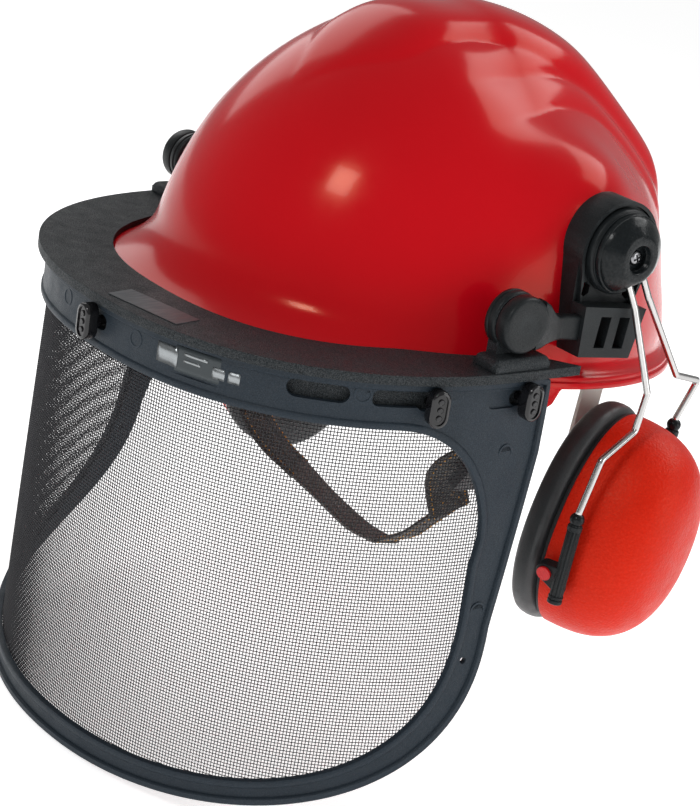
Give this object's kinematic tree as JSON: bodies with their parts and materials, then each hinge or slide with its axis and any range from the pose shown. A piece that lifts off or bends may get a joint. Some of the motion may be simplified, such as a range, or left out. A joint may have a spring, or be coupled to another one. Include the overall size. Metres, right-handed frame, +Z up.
{
  "type": "forestry helmet",
  "caption": "Hard hat with a swing-up mesh face visor on a brow guard, wire-arm ear defenders, an adjustable head harness and a chin strap.",
  "frame": {"origin": "centre of the head opening, level with the lower edge of the shell's side rim", "axes": "+Z up through the crown, the front of the helmet and its visor face -Y, the wearer's left is +X"},
  "size_m": [0.3104, 0.3018, 0.3378],
  "materials": {
    "shell_red": "glossy moulded shell",
    "guard_black": "fine leather grain",
    "frame_grey": "satin moulding",
    "mesh_steel": "black woven wire",
    "clip_black": "gloss moulding",
    "label_foil": "blank foil",
    "fitting_black": "satin moulding",
    "bright_steel": "polished",
    "wire_steel": "drawn wire",
    "cup_red": "fine grain, satin",
    "seal_black": "plain",
    "cushion_leatherette": "grained, soft",
    "foam_grey": "open cell foam",
    "rivet_red": "plain",
    "harness_white": "translucent moulding",
    "knob_black": "ribbed",
    "sweatband_tan": "towelling",
    "crown_webbing": "woven",
    "strap_webbing": "woven, stitched",
    "chin_grey": "woven elastic",
    "slider_black": "plain"
  },
  "bodies": {
    "clip_centre": {"turn_clip_centre": "clip_black"},
    "clip_mid_left": {"turn_clip_mid_left": "clip_black"},
    "clip_mid_right": {"turn_clip_mid_right": "clip_black"},
    "clip_outer_left": {"turn_clip_outer_left": "clip_black"},
    "clip_outer_right": {"turn_clip_outer_right": "clip_black"},
    "hub_left": {"hub_cap_left": "fitting_black"},
    "yoke_left": {"yoke_wires_left": "wire_steel"},
    "carrier_left": {"front_holder_left": "fitting_black", "rear_holder_left": "fitting_black", "holder_caps_left": "fitting_black"},
    "cup_left": {"ear_cup_left": "cup_red", "seal_plate_left": "seal_black", "ear_cushion_left": "cushion_leatherette", "cup_foam_left": "foam_grey", "cup_rivets_left": "rivet_red"},
    "nape_left": {"nape_strap_left": "harness_white"},
    "hub_right": {"hub_cap_right": "fitting_black"},
    "yoke_right": {"yoke_wires_right": "wire_steel"},
    "carrier_right": {"front_holder_right": "fitting_black", "rear_holder_right": "fitting_black", "holder_caps_right": "fitting_black"},
    "cup_right": {"ear_cup_right": "cup_red", "seal_plate_right": "seal_black", "ear_cushion_right": "cushion_leatherette", "cup_foam_right": "foam_grey", "cup_rivets_right": "rivet_red"},
    "nape_right": {"nape_strap_right": "harness_white"},
    "knob": {"ratchet_knob": "knob_black"},
    "visor": {"brow_guard": "guard_black", "visor_frame": "frame_grey", "visor_mesh": "mesh_steel", "band_label": "label_foil", "brow_label": "label_foil"},
    "helmet": {"chin_band": "chin_grey", "chin_strap_left": "strap_webbing", "chin_strap_right": "strap_webbing", "crown_strap_long": "crown_webbing", "crown_straps_cross": "crown_webbing", "harness_anchors": "harness_white", "headband": "harness_white", "hub_screw_left": "bright_steel", "hub_screw_right": "bright_steel", "hub_seat_left": "fitting_black", "hub_seat_right": "fitting_black", "ratchet_housing": "harness_white", "shell": "shell_red", "slot_adaptor_left": "fitting_black", "slot_adaptor_right": "fitting_black", "strap_hangers": "harness_white", "strap_sliders": "slider_black", "sweatband": "sweatband_tan", "visor_arm_left": "fitting_black", "visor_arm_right": "fitting_black", "visor_pivot_left": "bright_steel", "visor_pivot_right": "bright_steel"}
  },
  "joints": [
    {"name": "visor_tilt", "type": "hinge", "parent": "helmet", "child": "visor", "pos_m": [0, -0.041, 0.0304], "axis": [-1, 0, 0], "range_deg": [0, 98]},
    {"name": "turn_clip_centre", "type": "hinge", "parent": "visor", "child": "clip_centre", "pos_m": [0, -0.15633, -0.01227], "axis": [0, -0.9951, -0.0993], "range_deg": [0, 90]},
    {"name": "turn_clip_mid_left", "type": "hinge", "parent": "visor", "child": "clip_mid_left", "pos_m": [0.11713, -0.07557, -0.0042], "axis": [0.9673, -0.2523, -0.0252], "range_deg": [0, 90]},
    {"name": "turn_clip_mid_right", "type": "hinge", "parent": "visor", "child": "clip_mid_right", "pos_m": [-0.11713, -0.07557, -0.0042], "axis": [-0.9673, -0.2523, -0.0252], "range_deg": [0, 90]},
    {"name": "turn_clip_outer_left", "type": "hinge", "parent": "visor", "child": "clip_outer_left", "pos_m": [0.12197, -0.03219, 0.00013], "axis": [1, -0.0059, -0.0006], "range_deg": [0, 90]},
    {"name": "turn_clip_outer_right", "type": "hinge", "parent": "visor", "child": "clip_outer_right", "pos_m": [-0.12197, -0.03219, 0.00013], "axis": [-1, -0.0059, -0.0006], "range_deg": [0, 90]},
    {"name": "muff_swing_left", "type": "hinge", "parent": "helmet", "child": "hub_left", "pos_m": [0.1194, 0.0114, 0.0605], "axis": [1, 0, 0], "range_deg": [-4, 10]},
    {"name": "muff_flick_left", "type": "hinge", "parent": "hub_left", "child": "yoke_left", "pos_m": [0.1194, 0.01596, 0.05251], "axis": [0, -0.8686, -0.4955], "range_deg": [0, 16]},
    {"name": "muff_height_left", "type": "slide", "parent": "yoke_left", "child": "carrier_left", "axis": [-0.02, 0.02, -0.9996], "range_m": [0, 0.018]},
    {"name": "cup_tilt_left", "type": "hinge", "parent": "carrier_left", "child": "cup_left", "pos_m": [0.1122, 0.04335, -0.0602], "axis": [-0.3205, 0.879, 0.353], "range_deg": [-3, 8]},
    {"name": "nape_slide_left", "type": "slide", "parent": "helmet", "child": "nape_left", "axis": [1, 0, 0], "range_m": [0, 0.0048]},
    {"name": "muff_swing_right", "type": "hinge", "parent": "helmet", "child": "hub_right", "pos_m": [-0.1194, 0.0114, 0.0605], "axis": [1, 0, 0], "range_deg": [-4, 10]},
    {"name": "muff_flick_right", "type": "hinge", "parent": "hub_right", "child": "yoke_right", "pos_m": [-0.1194, 0.01596, 0.05251], "axis": [0, 0.8686, 0.4955], "range_deg": [0, 16]},
    {"name": "muff_height_right", "type": "slide", "parent": "yoke_right", "child": "carrier_right", "axis": [0.02, 0.02, -0.9996], "range_m": [0, 0.018]},
    {"name": "cup_tilt_right", "type": "hinge", "parent": "carrier_right", "child": "cup_right", "pos_m": [-0.1122, 0.04335, -0.0602], "axis": [0.3205, 0.879, 0.353], "range_deg": [-8, 3]},
    {"name": "nape_slide_right", "type": "slide", "parent": "helmet", "child": "nape_right", "axis": [-1, 0, 0], "range_m": [0, 0.0048]},
    {"name": "ratchet_turn", "type": "hinge", "parent": "helmet", "child": "knob", "pos_m": [0, 0.119, -0.002], "axis": [0, 1, 0], "range_deg": [0, 45]}
  ],
  "couplings": [
    {"joint": "nape_slide_left", "follows": "ratchet_turn", "m_per_rad": 0.006},
    {"joint": "nape_slide_right", "follows": "ratchet_turn", "m_per_rad": 0.006}
  ]
}
